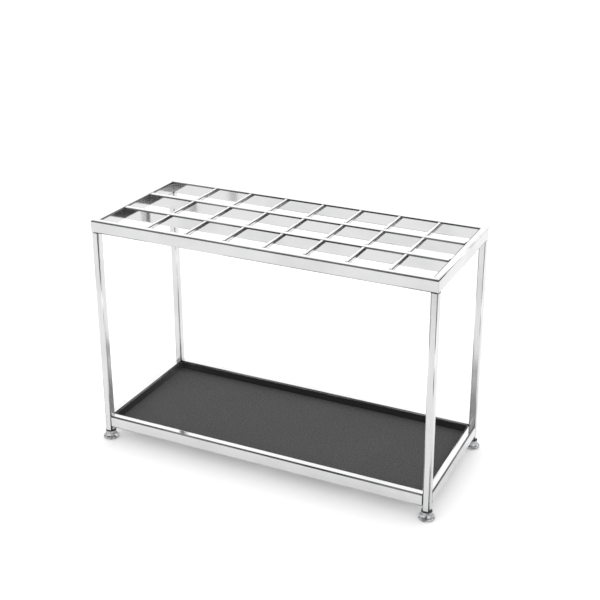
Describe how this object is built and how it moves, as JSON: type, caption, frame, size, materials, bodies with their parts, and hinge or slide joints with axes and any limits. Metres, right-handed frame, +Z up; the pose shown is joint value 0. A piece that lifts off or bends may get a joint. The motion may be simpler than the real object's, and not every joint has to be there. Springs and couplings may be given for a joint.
{
  "type": "umbrella stand",
  "caption": "Rectangular umbrella stand of polished steel tube: an open grid on slim legs over a black drip tray with a mat, on levelling feet.",
  "frame": {"origin": "on the floor under the middle of the stand", "axes": "+X along the length to the right, +Y to the rear, +Z up"},
  "size_m": [0.921, 0.391, 0.607],
  "materials": {
    "polished_steel": "mirror polished",
    "chromed_foot": "bright plated",
    "bright_screw": "zinc plated thread",
    "black_paint": "satin black",
    "grey_rubber": "fine grained, matt",
    "black_rubber": "matt"
  },
  "bodies": {
    "stand_frame": {"top_rail_front": "polished_steel", "top_rail_rear": "polished_steel", "top_rail_left": "polished_steel", "top_rail_right": "polished_steel", "long_bar_front": "polished_steel", "long_bar_rear": "polished_steel", "cross_bar_front_1": "polished_steel", "cross_bar_middle_1": "polished_steel", "cross_bar_rear_1": "polished_steel", "cross_bar_front_2": "polished_steel", "cross_bar_middle_2": "polished_steel", "cross_bar_rear_2": "polished_steel", "cross_bar_front_3": "polished_steel", "cross_bar_middle_3": "polished_steel", "cross_bar_rear_3": "polished_steel", "cross_bar_front_4": "polished_steel", "cross_bar_middle_4": "polished_steel", "cross_bar_rear_4": "polished_steel", "cross_bar_front_5": "polished_steel", "cross_bar_middle_5": "polished_steel", "cross_bar_rear_5": "polished_steel", "cross_bar_front_6": "polished_steel", "cross_bar_middle_6": "polished_steel", "cross_bar_rear_6": "polished_steel", "cross_bar_front_7": "polished_steel", "cross_bar_middle_7": "polished_steel", "cross_bar_rear_7": "polished_steel", "leg_front_left": "polished_steel", "leg_front_right": "polished_steel", "leg_rear_left": "polished_steel", "leg_rear_right": "polished_steel", "lower_rail_front": "polished_steel", "lower_rail_rear": "polished_steel", "lower_rail_left": "polished_steel", "lower_rail_right": "polished_steel", "tray_strip_left": "polished_steel", "tray_strip_middle": "polished_steel", "tray_strip_right": "polished_steel", "foot_insert_front_left": "polished_steel", "foot_insert_front_right": "polished_steel", "foot_insert_rear_left": "polished_steel", "foot_insert_rear_right": "polished_steel"},
    "foot_front_left": {"foot_stem_front_left": "bright_screw", "foot_base_front_left": "chromed_foot", "foot_pad_front_left": "black_rubber"},
    "foot_front_right": {"foot_stem_front_right": "bright_screw", "foot_base_front_right": "chromed_foot", "foot_pad_front_right": "black_rubber"},
    "foot_rear_left": {"foot_stem_rear_left": "bright_screw", "foot_base_rear_left": "chromed_foot", "foot_pad_rear_left": "black_rubber"},
    "foot_rear_right": {"foot_stem_rear_right": "bright_screw", "foot_base_rear_right": "chromed_foot", "foot_pad_rear_right": "black_rubber"},
    "tray": {"drip_tray": "black_paint"},
    "mat": {"tray_mat": "grey_rubber"}
  },
  "joints": [
    {"name": "foot_front_left_height", "type": "slide", "parent": "stand_frame", "child": "foot_front_left", "axis": [0, 0, -1], "range_m": [0, 0.01]},
    {"name": "foot_front_right_height", "type": "slide", "parent": "stand_frame", "child": "foot_front_right", "axis": [0, 0, -1], "range_m": [0, 0.01]},
    {"name": "foot_rear_left_height", "type": "slide", "parent": "stand_frame", "child": "foot_rear_left", "axis": [0, 0, -1], "range_m": [0, 0.01]},
    {"name": "foot_rear_right_height", "type": "slide", "parent": "stand_frame", "child": "foot_rear_right", "axis": [0, 0, -1], "range_m": [0, 0.01]},
    {"name": "tray_lift", "type": "slide", "parent": "stand_frame", "child": "tray", "axis": [0, 0, 1], "range_m": [0, 0.3]},
    {"name": "mat_lift", "type": "slide", "parent": "tray", "child": "mat", "axis": [0, 0, 1], "range_m": [0, 0.15]}
  ]
}
